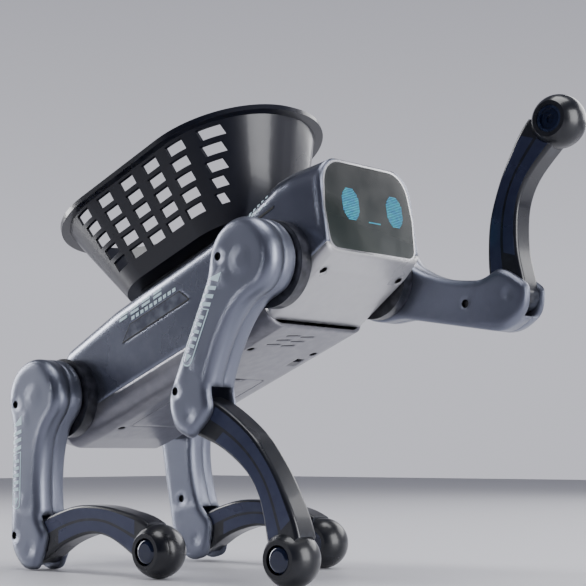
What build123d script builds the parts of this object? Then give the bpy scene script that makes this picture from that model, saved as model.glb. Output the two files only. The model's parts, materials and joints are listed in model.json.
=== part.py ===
from build123d import *
import math
import os

# Robot dog toy, standing on three feet with its left front paw raised and a lift-off basket on
# its back. Millimetres. +X is forwards, +Y is the dog's left, +Z is up, and the origin is on
# the floor under the middle of the toy's overall length.

# ---- Stance: lengths between pivots, and angles in degrees ----
BODY_PITCH = 22.0            # nose-up tilt of the body
HIP_TO_SHOULDER = 182.0
LEG_SPACING = 120.0          # between the mid-planes of the left and right legs
THIGH_LENGTH = 89.0          # hip pivot to knee pivot
SHIN_LENGTH = 98.0           # knee pivot to foot centre
FOOT_RADIUS = 15.0
KNEE_RADIUS = 13.0           # the thigh's tip below the knee pivot
REAR_RIGHT_THIGH = 0.0       # thigh angles from straight down, positive forwards
REAR_LEFT_THIGH = 11.5
FRONT_RIGHT_THIGH = -24.7
FRONT_LEFT_THIGH = 80.5
FRONT_LEFT_SHIN = 163.3      # the raised paw

# ---- Clearances ----
WORKING_GAP = 0.3            # between faces of pieces that move past each other
RUNNING_FIT = 0.05           # radial, between a shaft and its bore
SEAT_FIT = 0.1               # round a part that is let into another

# ---- Limbs ----
LIMB_WALL = 2.2
OUTER_CAVITY_MARGIN = 1.4    # keeps the outer shell's hollow inside its rounded rim
THIGH_THICKNESS = 22.0
THIGH_BACK = 21.0            # hip line to the thigh's straight back edge
THIGH_FRONT = 5.5            # hip line to the thigh's slim front edge
CAP_RADIUS = 23.0            # rounded top of the thigh round the hip
CAP_SETBACK = 2.0            # the cap's centre behind the hip pivot
KNEE_FRONT = 13.5
THIGH_ROUNDING = 5.4
THIGH_INNER_ROUNDING = 3.0
FORK_TOP = 19.5              # the fork's roof above the knee pivot
FORK_BACK = 10.5             # the fork's web behind the knee pivot
SHIN_THICKNESS = 15.4
SHIN_ROUNDING = 2.4
SHIN_HUB_RADIUS = 9.0
INLAY_DEPTH = 0.8
KNEE_PIN_RADIUS = 2.5
KNEE_PIN_REACH = 9.8         # the pin's holes, out from the leg's mid-plane
HIP_SHAFT_RADIUS = 3.0
HIP_SHAFT_GRIP = 5.5         # the shaft's end past the thigh's mid-plane
HIP_SHAFT_IN_SERVO = 6.0     # how far the shaft enters the hip servo
HIP_BOSS_RADIUS = 6.0
SERVO_LENGTH = 24.0
SERVO_WIDTH = 18.0
SERVO_HEIGHT = 14.0
KNEE_SERVO_TOP = 29.0        # the knee servo's upper end below the hip pivot
FOOT_FLAT = 11.2             # the ball's flats, out from the leg's mid-plane
FOOT_CAP_RADIUS = 7.5
FOOT_CAP_DEPTH = 4.0
HUB_CAP_RIM = 1.5
HUB_CAP_SET_IN = 0.6
TONGUE_RADIUS = 8.0          # the shin's tongue, clamped between the ball's halves
TONGUE_THICKNESS = 6.0

# ---- Screws ----
SCREW_RADIUS = 1.0
SCREW_HEAD_RADIUS = 1.9
SCREW_HEAD_HEIGHT = 1.4
SCREW_LENGTH = 9.0
SCREW_WELL_RADIUS = 2.4      # the deep well that each head sits in
SCREW_WELL_DEPTH = 3.4
POST_RADIUS = 3.8

# ---- Body ----
BODY_HALF_WIDTH = 41.0
BODY_WALL = 2.0
BODY_REAR = -116.0
BODY_BOTTOM = -28.0
BACK_HEIGHT = 39.5           # the back at the neck, above the line of hip and shoulder pivots
PARTING = -12.0              # where back and belly casings meet
NECK = 74.0                  # where body and head casings meet, ahead of the body's middle
HEAD_TOP = 46.5
HEAD_LENGTH = 66.0
FACE_HALF_WIDTH = 40.0
FACE_TOP = 43.0              # the face's upper edge, below the head's top
FACE_TOP_X = 137.5           # the face plane at that edge
FACE_LEAN = 13.5             # degrees
FACE_WALL = 4.0
CHIN_RISE = 0.27             # slope of the head's underside from the neck to its fold
CHIN_FOLD = 40.0             # ahead of the neck
CHIN_FRONT_RISE = 0.46       # slope from the fold to the face
CHIN_PARTING_LOW = -16.0     # chin parting line at the neck
CHIN_PARTING_RISE = 0.24
SCREEN_THICKNESS = 2.0
DRUM_RADIUS = 24.0

# Corners of the slanted accent panel on each side, in the body's frame.
ACCENT_OUTLINE = [(-36, 13), (-27, 20), (17, 20), (22, 13)]
ACCENT_DEPTH = 0.8
ACCENT_PROUD = 0.2

# ---- Chin, screws and screen ----
CHIN_LOW = -24.0             # the chin's lowest edge, at the neck
CHIN_CORNER = 5.0
BELLY_SCREW_X = (-70.0, 44.0)
BELLY_SCREW_Y = 27.0
CHIN_SCREW_X = 39.0          # ahead of the neck
CHIN_SCREW_Y = 33.0
# The screen's corners on the face, x to the left and y up from the head's top.
SCREEN_OUTLINE = [(-36.5, -50.3), (36.5, -50.3), (38.5, -28), (35, -1.2), (-35, -1.2), (-38.5, -28)]
SCREEN_TOP_CORNER = 15.0
SCREEN_BOTTOM_CORNER = 6.0
WINDOW = (64.0, 24.0)
WINDOW_Y = -24.0             # the window's centre below the face's upper edge, down the face
EYE = (15.0, 19.0)           # width and height of each dot-matrix eye
EYE_SPACING = 39.0
EYE_Y = -24.2
MOUTH = (11.0, 1.2)
MOUTH_Y = -32.9
GAZE_SHIFT = 3.5             # eyes and mouth sit to the dog's left of the screen's middle
BOARD_MARGIN = 2.0           # the display board's edge past the window
LAMP_THICKNESS = FACE_WALL - SCREEN_THICKNESS

# ---- Basket and the saddle under it ----
BASKET_FLOOR = 44.0          # its underside above the pivot line
BASKET_HEIGHT = 56.0
BASKET_WALL = 2.2
BASKET_BOTTOM_LENGTH = 120.0
BASKET_BOTTOM_WIDTH = 76.0
BASKET_BOTTOM_X = 14.0
BASKET_BOTTOM_CORNER = 35.0
BASKET_RIM_LENGTH = 183.0
BASKET_RIM_WIDTH = 120.0
BASKET_RIM_X = 13.5
BASKET_RIM_CORNER = 57.0
RIM_LIP = 4.0                # the rim's flange stands out past the wall
RIM_THICKNESS = 3.0
SLOT_COLUMNS = 5             # full columns; one more, with slots that shorten downwards, leads
SLOT_LENGTH = 12.0
SLOT_HEIGHT = 6.2
SLOT_COLUMN_PITCH = 21.0     # in the top row; the columns draw together downwards
SLOT_ROW_PITCH = 8.7
SLOT_TOP_Z = 92.4            # the top row's middle, above the pivot line
SLOT_FIRST_X = -29.5         # the rear column's middle in the top row
LEADING_SLOTS = [12.0, 10.5, 9.0, 7.0, 5.0]
SADDLE_LENGTH = 88.0
SADDLE_WIDTH = 50.0
PEG_SIDE = 12.0
PEG_SPACING = 54.0
PEG_SETBACK = 0.2            # the pegs' tops below the basket's floor

# ---- Electronics ----
BATTERY = (62.0, 38.0, 16.0)
BATTERY_X = -30.0
DOOR = (72.0, 46.0)
HIP_SERVO = (22.0, 17.0, 26.0)    # length, height and depth of each hip servo
BOARD_THICKNESS = 1.6
BOARD_WIDTH = 56.0
BOARD_Z = 6.0
CHIP = (16.0, 14.0, 2.0)
CHIP_SPOTS = [(-30, 8), (10, -10), (-60, -14)]
SPEAKER_RADIUS = 13.0
SPEAKER_X = 58.0
SPEAKER_DEPTH = 5.0
SWITCH_X = 30.0
SWITCH_Y = 24.0
SWITCH_TRAVEL = 4.0
SWITCH_KNOB = (5.0, 6.0)
PORT = (11.0, 5.0, 8.0)      # width, height and depth of the charging socket
PORT_Z = -6.0

# ---- Values that follow from the ones above ----
LEG_Y = LEG_SPACING / 2
HALF_THIGH = THIGH_THICKNESS / 2
HALF_SHIN = SHIN_THICKNESS / 2
FORK_HALF_WIDTH = HALF_SHIN + WORKING_GAP
HIP_SHAFT_REACH = LEG_Y - BODY_HALF_WIDTH + BODY_WALL + HIP_SHAFT_IN_SERVO
PITCH = math.radians(BODY_PITCH)
HIP_X = (-HIP_TO_SHOULDER / 2, HIP_TO_SHOULDER / 2)


def along(point, angle, length):
    """The (x, z) point at a distance down a limb that stands at an angle."""
    a = math.radians(angle)
    return (point[0] + length * math.sin(a), point[1] - length * math.cos(a))


def standing_shin(knee):
    """Angle of a shin whose foot rests on the floor, in front of its knee."""
    return math.degrees(math.acos((knee[1] - FOOT_RADIUS) / SHIN_LENGTH))


# The toy's reach behind and ahead of the rear hip puts the origin under its middle.
RIM_ABOVE_HIP = BASKET_FLOOR + BASKET_HEIGHT
RIM_AHEAD_OF_HIP = BASKET_RIM_X - BASKET_RIM_LENGTH / 2 + HIP_TO_SHOULDER / 2
RIM_REACH = RIM_ABOVE_HIP * math.sin(PITCH) - RIM_AHEAD_OF_HIP * math.cos(PITCH)
REAR_REACH = max(CAP_RADIUS + CAP_SETBACK, RIM_REACH)
RAISED_KNEE_AHEAD = HIP_TO_SHOULDER * math.cos(PITCH) + along((0, 0), FRONT_LEFT_THIGH, THIGH_LENGTH)[0]
FRONT_REACH = RAISED_KNEE_AHEAD + along((0, 0), FRONT_LEFT_SHIN, SHIN_LENGTH)[0] + FOOT_RADIUS
REAR_HIP_Z = KNEE_RADIUS + THIGH_LENGTH * math.cos(math.radians(REAR_RIGHT_THIGH))
REAR_HIP = ((REAR_REACH - FRONT_REACH) / 2, REAR_HIP_Z)
SHOULDER = (
    REAR_HIP[0] + HIP_TO_SHOULDER * math.cos(PITCH),
    REAR_HIP[1] + HIP_TO_SHOULDER * math.sin(PITCH),
)
BODY_MIDDLE = ((REAR_HIP[0] + SHOULDER[0]) / 2, (REAR_HIP[1] + SHOULDER[1]) / 2)

LEFT = 1
RIGHT = -1


def pose(pivot, thigh_angle, side, shin_angle=None):
    """Pivots and angles of one leg."""
    knee = along(pivot, thigh_angle, THIGH_LENGTH)
    shin = standing_shin(knee) if shin_angle is None else shin_angle
    return {"hip": pivot, "thigh": thigh_angle, "knee": knee, "shin": shin, "side": side}


LEGS = {
    "rear_right": pose(REAR_HIP, REAR_RIGHT_THIGH, RIGHT),
    "rear_left": pose(REAR_HIP, REAR_LEFT_THIGH, LEFT),
    "front_right": pose(SHOULDER, FRONT_RIGHT_THIGH, RIGHT),
    "front_left": pose(SHOULDER, FRONT_LEFT_THIGH, LEFT, FRONT_LEFT_SHIN),
}

os.makedirs("parts", exist_ok=True)


def save(piece, name):
    """Label a finished piece and write it as its own STEP file."""
    piece.part.label = name
    export_step(piece.part, f"parts/{name}.step")


# ---- Planes ----
def limb_plane(leg, pivot, angle, out=0.0):
    """x forward of the limb, y down the limb, z to the left; out is away from the body."""
    a = math.radians(angle)
    across = (math.cos(a), 0, math.sin(a))
    middle = leg["side"] * (LEG_Y + out)
    return Plane(origin=(pivot[0], middle, pivot[1]), x_dir=across, z_dir=(0, 1, 0))


def thigh_plane(leg, out=0.0):
    """Plane of the thigh, with its origin at the hip."""
    return limb_plane(leg, leg["hip"], leg["thigh"], out)


def shin_plane(leg, out=0.0):
    """Plane of the shin, with its origin at the knee."""
    return limb_plane(leg, leg["knee"], leg["shin"], out)


def foot_plane(leg, out=0.0):
    """Plane of the shin, with its origin at the foot's centre."""
    centre = along(leg["knee"], leg["shin"], SHIN_LENGTH)
    return limb_plane(leg, centre, leg["shin"], out)


def body_point(x, y, z):
    """A point of the body's own frame, in the toy's frame."""
    return (
        BODY_MIDDLE[0] + x * math.cos(PITCH) - z * math.sin(PITCH),
        y,
        BODY_MIDDLE[1] + x * math.sin(PITCH) + z * math.cos(PITCH),
    )


def deck_plane(z, x=0.0, y=0.0):
    """Parallel to the back: x forwards, y left, at a height over the pivot line."""
    forward = (math.cos(PITCH), 0, math.sin(PITCH))
    up = (-math.sin(PITCH), 0, math.cos(PITCH))
    return Plane(origin=body_point(x, y, z), x_dir=forward, z_dir=up)


def section_plane(x):
    """Across the body at x: its x to the left, its y up."""
    forward = (math.cos(PITCH), 0, math.sin(PITCH))
    return Plane(origin=body_point(x, 0, 0), x_dir=(0, 1, 0), z_dir=forward)


def side_plane(y):
    """The body seen from its right: x forwards, y up, facing right."""
    forward = (math.cos(PITCH), 0, math.sin(PITCH))
    return Plane(origin=body_point(0, y, 0), x_dir=forward, z_dir=(0, -1, 0))


def face_plane(depth=0.0):
    """The leaning face: x left, y up the face, its origin at the upper edge, facing forwards."""
    lean = PITCH - math.radians(FACE_LEAN)
    normal = (math.cos(lean), 0, math.sin(lean))
    plane = Plane(origin=body_point(FACE_TOP_X, 0, FACE_TOP), x_dir=(0, 1, 0), z_dir=normal)
    return plane.offset(-depth)


def chin_plane():
    """Parting plane of head and chin, rising towards the face."""
    rise = PITCH + math.atan(CHIN_PARTING_RISE)
    forward = (math.cos(rise), 0, math.sin(rise))
    up = (-math.sin(rise), 0, math.cos(rise))
    return Plane(origin=body_point(NECK, 0, CHIN_PARTING_LOW), x_dir=forward, z_dir=up)


def flank(piece, leg, outward):
    """The face of a limb piece that lies furthest out from the body, or nearest to it."""
    return piece.faces().sort_by(Axis.Y)[-1 if outward * leg["side"] > 0 else 0]


# ---- Screws: each is a head and a shank, in a well that opens outwards ----
def screw_well(plane):
    """Cut the well and the shank hole into the piece being built; the plane's z points out."""
    with BuildSketch(plane) as well:
        Circle(SCREW_WELL_RADIUS)
    extrude(well.sketch, amount=-SCREW_WELL_DEPTH, mode=Mode.SUBTRACT)
    with BuildSketch(plane) as hole:
        Circle(SCREW_RADIUS + RUNNING_FIT)
    extrude(hole.sketch, amount=-SCREW_WELL_DEPTH - SCREW_LENGTH, mode=Mode.SUBTRACT)


def screw(plane):
    """Add one screw whose head sits on the floor of its well."""
    with BuildSketch(plane.offset(-SCREW_WELL_DEPTH)) as head:
        Circle(SCREW_HEAD_RADIUS)
    extrude(head.sketch, amount=SCREW_HEAD_HEIGHT)
    with BuildSketch(plane.offset(-SCREW_WELL_DEPTH)) as shank:
        Circle(SCREW_RADIUS)
    extrude(shank.sketch, amount=-SCREW_LENGTH)


# ---- Thigh: two shells that part on the leg's mid-plane ----
THIGH_OUTER_SCREWS = [(-16.5, 4.0), (-15.5, THIGH_LENGTH - 7.0)]
THIGH_INNER_SCREWS = [(-8.0, 13.0), (-8.0, THIGH_LENGTH - 27.0)]


def thigh_screw_planes(leg):
    """A plane at the mouth of each screw well, facing out of the thigh."""
    planes = []
    for outward, spots in ((1, THIGH_OUTER_SCREWS), (-1, THIGH_INNER_SCREWS)):
        base = thigh_plane(leg, outward * HALF_THIGH)
        for x, y in spots:
            mouth = base.from_local_coords((x, y, 0))
            out = (0, outward * leg["side"], 0)
            planes.append(Plane(origin=mouth, x_dir=base.x_dir, z_dir=out))
    return planes


def thigh_outline():
    """Side outline: round cap at the hip, slim middle, fuller knee with a rounded tip."""
    cap_back = -CAP_SETBACK - CAP_RADIUS
    cap_front = CAP_RADIUS - CAP_SETBACK
    knee = THIGH_LENGTH
    with BuildSketch() as outline:
        with BuildLine():
            cap = ThreePointArc((cap_back, 0), (-CAP_SETBACK, -CAP_RADIUS), (cap_front, 0))
            throat = Spline(
                cap @ 1, (cap_front * 0.6, 16), (THIGH_FRONT, 36), (THIGH_FRONT, knee - 25),
                tangents=[(0, 1), (0.1, 1)],
            )
            bulge = Spline(
                throat @ 1, (KNEE_FRONT, knee - 8), (8.5, knee + 8), (-3, knee + KNEE_RADIUS),
                tangents=[(0.1, 1), (-1, 0)],
            )
            heel = Spline(
                bulge @ 1, (-14, knee + 8), (-THIGH_BACK, knee - 8), tangents=[(-1, 0), (0, -1)]
            )
            back = Line(heel @ 1, (-THIGH_BACK, 22))
            Spline(back @ 1, cap @ 0, tangents=[(0, -1), (0, -1)])
        make_face()
    return outline.sketch


def thigh_hollow(inset):
    """The hollow inside one shell, from the cap down to the fork's roof."""
    roof = THIGH_LENGTH - FORK_TOP - LIMB_WALL
    cap_front = CAP_RADIUS - CAP_SETBACK
    with BuildSketch() as hollow:
        with BuildLine():
            cap = ThreePointArc(
                (-THIGH_BACK + inset, 0), (-CAP_SETBACK, inset - CAP_RADIUS), (cap_front - inset, 0)
            )
            throat = Spline(
                cap @ 1, (cap_front * 0.6 - inset, 14), (THIGH_FRONT - inset, 36),
                (THIGH_FRONT - inset, roof), tangents=[(0, 1), (0, 1)],
            )
            Polyline(throat @ 1, (-THIGH_BACK + inset, roof), cap @ 0)
        make_face()
        with Locations(*THIGH_OUTER_SCREWS, *THIGH_INNER_SCREWS):
            Circle(POST_RADIUS, mode=Mode.SUBTRACT)
        Circle(HIP_BOSS_RADIUS, mode=Mode.SUBTRACT)
    return hollow.sketch


def fork_space():
    """The room that the shin swings in: everything ahead of the web and below the roof."""
    top = THIGH_LENGTH - FORK_TOP
    bottom = THIGH_LENGTH + KNEE_RADIUS + 1
    with BuildSketch() as space:
        with Locations(((2 * KNEE_FRONT - FORK_BACK) / 2, (top + bottom) / 2)):
            Rectangle(2 * KNEE_FRONT + FORK_BACK, bottom - top)
    return space.sketch


def thigh_shell(leg, outward):
    """One shell of the thigh: outward is 1 for the outer shell and -1 for the inner one."""
    mid = thigh_plane(leg)
    out = outward * leg["side"]
    with BuildPart() as shell:
        with BuildSketch(mid):
            add(thigh_outline())
        extrude(amount=out * HALF_THIGH)
        rim = flank(shell, leg, outward).edges()
        fillet(rim, THIGH_ROUNDING if outward > 0 else THIGH_INNER_ROUNDING)
        with BuildSketch(mid):
            add(thigh_hollow(LIMB_WALL + (OUTER_CAVITY_MARGIN if outward > 0 else 0)))
        extrude(amount=out * (HALF_THIGH - LIMB_WALL), mode=Mode.SUBTRACT)
        with BuildSketch(mid):
            add(fork_space())
        extrude(amount=out * FORK_HALF_WIDTH, mode=Mode.SUBTRACT)
        with BuildSketch(mid):
            with Locations((0, THIGH_LENGTH)):
                Circle(KNEE_PIN_RADIUS + RUNNING_FIT)
        extrude(amount=out * KNEE_PIN_REACH, mode=Mode.SUBTRACT)
        with BuildSketch(thigh_plane(leg, -HALF_THIGH)):
            Circle(HIP_SHAFT_RADIUS)
        extrude(amount=leg["side"] * (HALF_THIGH + HIP_SHAFT_GRIP), mode=Mode.SUBTRACT)
        for plane in thigh_screw_planes(leg):
            screw_well(plane)
    return shell


def thigh_screws(leg):
    """Two screws from the outside and two from the inside."""
    with BuildPart() as screws:
        for plane in thigh_screw_planes(leg):
            screw(plane)
    return screws


def hip_shaft(leg):
    """Steel shaft fixed in the thigh, turning in the hip drum and in the hip servo."""
    with BuildPart() as shaft:
        with BuildSketch(thigh_plane(leg, -HIP_SHAFT_REACH)):
            Circle(HIP_SHAFT_RADIUS)
        extrude(amount=leg["side"] * (HIP_SHAFT_REACH + HIP_SHAFT_GRIP))
    return shaft


def knee_servo(leg):
    """Geared motor seated on the inner shell, above the fork, with its output boss."""
    floor = -HALF_THIGH + LIMB_WALL
    middle = (THIGH_FRONT - THIGH_BACK) / 2
    with BuildPart() as servo:
        with BuildSketch(thigh_plane(leg, floor)):
            with Locations((middle, KNEE_SERVO_TOP + SERVO_LENGTH / 2)):
                RectangleRounded(SERVO_WIDTH, SERVO_LENGTH, 1.5)
        extrude(amount=leg["side"] * SERVO_HEIGHT)
        with BuildSketch(thigh_plane(leg, floor + SERVO_HEIGHT)):
            with Locations((middle, KNEE_SERVO_TOP + SERVO_LENGTH * 0.7)):
                Circle(SERVO_WIDTH / 4)
        extrude(amount=leg["side"] * LIMB_WALL)
    return servo


def knee_pin(leg):
    """Pin across the fork that the shin turns on."""
    with BuildPart() as pin:
        with BuildSketch(shin_plane(leg)):
            Circle(KNEE_PIN_RADIUS)
        extrude(amount=KNEE_PIN_REACH - SEAT_FIT, both=True)
    return pin


# ---- Shin: a bowed arm, x towards the side it folds to, y down to the foot ----
# Stations down the arm as shares of its length, with its back and front edges in millimetres.
SHIN_STATIONS = [
    (-0.02, -9.0, 12.5),
    (0.08, -6.5, 17.5),
    (0.22, 1.0, 22.0),
    (0.37, 6.5, 25.0),
    (0.51, 9.0, 25.3),
    (0.64, 7.5, 24.3),
    (0.77, 2.0, 22.0),
    (0.88, -4.0, 19.5),
    (0.98, -9.0, 15.6),
]


def shin_edges(low, high, first, last):
    """Points along two lines at shares low and high of the arm's width, over some stations."""
    back = []
    front = []
    for share, near, far in SHIN_STATIONS[first:last]:
        down = share * SHIN_LENGTH
        back.append((near + low * (far - near), down))
        front.append((near + high * (far - near), down))
    return back, front


def shin_band(low=0.0, high=1.0, first=0, last=None):
    """A closed strip along the arm."""
    back, front = shin_edges(low, high, first, last)
    with BuildSketch() as band:
        with BuildLine():
            Spline(*back)
            Spline(*front)
            Line(back[0], front[0])
            Line(back[-1], front[-1])
        make_face()
    return band.sketch


def shin_inlay_faces():
    """Two inlay strips with a groove between them; the lower one starts further down."""
    with BuildSketch() as strips:
        add(shin_band(0.55, 0.90, 1, 8))
        add(shin_band(0.10, 0.46, 2, 8))
    return strips.sketch


def tongue_outline(grow=0.0):
    """The part of the arm that reaches into the foot, ending in a disc at the ball's centre."""
    share = grow / SHIN_HUB_RADIUS
    with BuildSketch() as tongue:
        add(shin_band(0.12 - share, 0.60 + share, 5, None))
        with Locations((0, SHIN_LENGTH)):
            Circle(TONGUE_RADIUS + grow)
    return tongue.sketch


def shin_arm(leg):
    """The arm with its hub, its inlay pockets, the ball's seat and the tongue."""
    mid = shin_plane(leg)
    with BuildPart() as arm:
        with BuildSketch(mid):
            add(shin_band())
            Circle(SHIN_HUB_RADIUS)
        extrude(amount=HALF_SHIN, both=True)
        for outward in (1, -1):
            rim = flank(arm, leg, outward).edges()
            fillet(rim.filter_by(lambda edge: edge.length > SHIN_LENGTH / 2), SHIN_ROUNDING)
        with Locations(foot_plane(leg).location):
            Sphere(FOOT_RADIUS, mode=Mode.SUBTRACT)
        with BuildSketch(mid):
            add(tongue_outline())
        extrude(amount=TONGUE_THICKNESS / 2, both=True)
        for out in (-1, 1):
            with BuildSketch(mid.offset(out * HALF_SHIN)):
                add(shin_inlay_faces())
            extrude(amount=-out * INLAY_DEPTH, mode=Mode.SUBTRACT)
        with BuildSketch(mid):
            Circle(KNEE_PIN_RADIUS + RUNNING_FIT)
        extrude(amount=HALF_SHIN, both=True, mode=Mode.SUBTRACT)
    return arm


def shin_inlays(leg):
    """Coloured strips let into both sides of the arm."""
    with BuildPart() as inlays:
        for out in (-1, 1):
            with BuildSketch(shin_plane(leg).offset(out * HALF_SHIN)):
                add(shin_inlay_faces())
            extrude(amount=-out * INLAY_DEPTH)
        with Locations(foot_plane(leg).location):
            Sphere(FOOT_RADIUS + SEAT_FIT, mode=Mode.SUBTRACT)
    return inlays


def foot_ball(leg):
    """Rubber ball in two halves, clamped on the tongue, with a cap recess in each flat."""
    place = foot_plane(leg)
    with BuildPart() as ball:
        with Locations(place.location):
            Sphere(FOOT_RADIUS)
        split(bisect_by=place.offset(FOOT_FLAT), keep=Keep.BOTTOM)
        split(bisect_by=place.offset(-FOOT_FLAT), keep=Keep.TOP)
        with BuildSketch(shin_plane(leg)):
            add(tongue_outline(SEAT_FIT))
        extrude(amount=TONGUE_THICKNESS / 2 + SEAT_FIT, both=True, mode=Mode.SUBTRACT)
        for out in (-1, 1):
            with BuildSketch(place.offset(out * FOOT_FLAT)):
                Circle(FOOT_CAP_RADIUS + SEAT_FIT)
            extrude(amount=-out * FOOT_CAP_DEPTH, mode=Mode.SUBTRACT)
        split(bisect_by=place, keep=Keep.BOTH)
    return ball


def foot_caps(leg):
    """Domed cap on the outside of the ball, hollow hub cap with its screw well on the inside."""
    side = leg["side"]
    seat = FOOT_FLAT - FOOT_CAP_DEPTH
    with BuildPart() as caps:
        with BuildSketch(foot_plane(leg, seat)):
            Circle(FOOT_CAP_RADIUS)
        extrude(amount=side * FOOT_CAP_DEPTH)
        fillet(flank(caps, leg, 1).edges(), FOOT_CAP_DEPTH - 1)
        with BuildSketch(foot_plane(leg, -seat)):
            Circle(FOOT_CAP_RADIUS)
        extrude(amount=-side * (FOOT_CAP_DEPTH - HUB_CAP_SET_IN))
        with BuildSketch(foot_plane(leg, -FOOT_FLAT)):
            Circle(FOOT_CAP_RADIUS - HUB_CAP_RIM)
        extrude(amount=side * FOOT_CAP_DEPTH / 2, mode=Mode.SUBTRACT)
        with BuildSketch(foot_plane(leg, -FOOT_FLAT)):
            Circle(SCREW_WELL_RADIUS)
        extrude(amount=side * (FOOT_CAP_DEPTH - 1), mode=Mode.SUBTRACT)
    return caps


# ---- Body and head casings ----
# Stations along the body: x, half width, low edge, high edge, corner radius.
BODY_STATIONS = [
    (BODY_REAR, BODY_HALF_WIDTH - 5, -20.0, 4.0, 8.0),
    (BODY_REAR + 12, BODY_HALF_WIDTH, BODY_BOTTOM + 1, 22.0, 10.0),
    (BODY_REAR + 30, BODY_HALF_WIDTH, BODY_BOTTOM, 32.0, 11.0),
    (BODY_REAR + 76, BODY_HALF_WIDTH, BODY_BOTTOM, BACK_HEIGHT - 3, 11.0),
    (NECK, BODY_HALF_WIDTH, BODY_BOTTOM, BACK_HEIGHT, 11.0),
]
# The head narrows a little towards the face: distance ahead of the neck, half width, high edge,
# corner radius.
HEAD_STATIONS = [
    (0.0, BODY_HALF_WIDTH, BACK_HEIGHT + 0.5, 11.0),
    (30.0, BODY_HALF_WIDTH, HEAD_TOP, 12.0),
    (CHIN_FOLD, BODY_HALF_WIDTH, HEAD_TOP, 13.0),
    (HEAD_LENGTH, FACE_HALF_WIDTH, FACE_TOP, 16.0),
]


def body_section(half_width, low, high, top_corner, bottom_corner):
    """A rounded box section of the body, x across it and y up."""
    with BuildSketch() as section:
        with Locations((0, (low + high) / 2)):
            Rectangle(2 * half_width, high - low)
        fillet(section.vertices().group_by(Axis.Y)[-1], top_corner)
        fillet(section.vertices().group_by(Axis.Y)[0], bottom_corner)
    return section.sketch


def fuselage(inset=0.0):
    """The body's form, or its hollow when inset by the wall."""
    with BuildPart() as form:
        for x, half_width, low, high, corner in BODY_STATIONS:
            if x == BODY_REAR:
                x = x + inset
            if x == NECK and inset:
                x = x + SEAT_FIT
            with BuildSketch(section_plane(x)):
                radius = corner - inset
                add(body_section(half_width - inset, low + inset, high - inset, radius, radius))
        loft(ruled=True)
    return form


def head_low(ahead):
    """The head's underside, rising from the neck and more steeply ahead of the chin's fold."""
    behind_fold = min(ahead, CHIN_FOLD)
    return CHIN_LOW + CHIN_RISE * behind_fold + CHIN_FRONT_RISE * (ahead - behind_fold)


def head_form(inset=0.0):
    """The head's form behind the face, or its hollow when inset by the wall."""
    with BuildPart() as form:
        for ahead, half_width, high, corner in HEAD_STATIONS:
            low = head_low(ahead)
            start = SEAT_FIT if inset and not ahead else 0.0
            with BuildSketch(section_plane(NECK + ahead - start)):
                add(
                    body_section(
                        half_width - inset, low + inset, high - inset,
                        corner - inset, CHIN_CORNER - inset,
                    )
                )
        loft(ruled=True)
        split(bisect_by=face_plane(FACE_WALL if inset else 0.0), keep=Keep.BOTTOM)
    return form


def hip_holes():
    """Holes through both side walls for the four hip shafts."""
    for x in HIP_X:
        with BuildSketch(side_plane(0)) as hole:
            with Locations((x, 0)):
                Circle(HIP_SHAFT_RADIUS + WORKING_GAP)
        extrude(hole.sketch, amount=BODY_HALF_WIDTH, both=True, mode=Mode.SUBTRACT)


def accent_face():
    """The slanted accent panel's outline on the body's side."""
    with BuildSketch() as face:
        with BuildLine():
            Polyline(*ACCENT_OUTLINE, close=True)
        make_face()
    return face.sketch


def side_accents():
    """A thin slanted panel let into each side of the back casing."""
    with BuildPart() as accents:
        for side in (-1, 1):
            with BuildSketch(side_plane(side * (BODY_HALF_WIDTH - ACCENT_DEPTH))):
                add(accent_face())
            extrude(amount=-side * (ACCENT_DEPTH + ACCENT_PROUD))
    return accents


def belly_screw_planes():
    """Wells in the belly's underside, facing down."""
    down = (math.sin(PITCH), 0, -math.cos(PITCH))
    forward = (math.cos(PITCH), 0, math.sin(PITCH))
    spots = [(x, y) for x in BELLY_SCREW_X for y in (-BELLY_SCREW_Y, BELLY_SCREW_Y)]
    return [Plane(origin=body_point(x, y, BODY_BOTTOM), x_dir=forward, z_dir=down) for x, y in spots]


def chin_screw_planes():
    """Wells at the chin's two corners, square to its rising underside."""
    rise = PITCH + math.atan(CHIN_RISE)
    down = (math.sin(rise), 0, -math.cos(rise))
    forward = (math.cos(rise), 0, math.sin(rise))
    height = head_low(CHIN_SCREW_X)
    return [
        Plane(origin=body_point(NECK + CHIN_SCREW_X, y, height), x_dir=forward, z_dir=down)
        for y in (-CHIN_SCREW_Y, CHIN_SCREW_Y)
    ]


def screw_posts(planes, length):
    """Posts inside a casing, round its screws."""
    for plane in planes:
        with BuildSketch(plane.offset(-BODY_WALL / 2)) as post:
            Circle(POST_RADIUS)
        extrude(post.sketch, amount=-length)


def chin_bridge():
    """Rib across the head with the chin screws' two posts; the chin's parting cuts it in two."""
    with BuildPart() as bridge:
        with BuildSketch(chin_screw_planes()[0]):
            with Locations((0, 0), (0, -2 * CHIN_SCREW_Y)):
                Circle(POST_RADIUS)
            with Locations((0, -CHIN_SCREW_Y)):
                Rectangle(BODY_WALL, 2 * BODY_HALF_WIDTH)
        extrude(amount=-SCREW_WELL_DEPTH - SCREW_LENGTH)
        add(head_form(BODY_WALL / 2), mode=Mode.INTERSECT)
    return bridge


def back_casing():
    """Upper casing: open at the neck and below, with holes for the hip shafts."""
    with BuildPart() as casing:
        add(fuselage())
        add(fuselage(BODY_WALL), mode=Mode.SUBTRACT)
        split(bisect_by=deck_plane(PARTING), keep=Keep.TOP)
        hip_holes()
        with BuildSketch(section_plane(BODY_REAR)):
            add(port_face())
        extrude(amount=PORT[2], mode=Mode.SUBTRACT)
        for side in (-1, 1):
            with BuildSketch(side_plane(side * (BODY_HALF_WIDTH - ACCENT_DEPTH))):
                add(accent_face())
            extrude(amount=-side * ACCENT_DEPTH, mode=Mode.SUBTRACT)
    return casing


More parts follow.
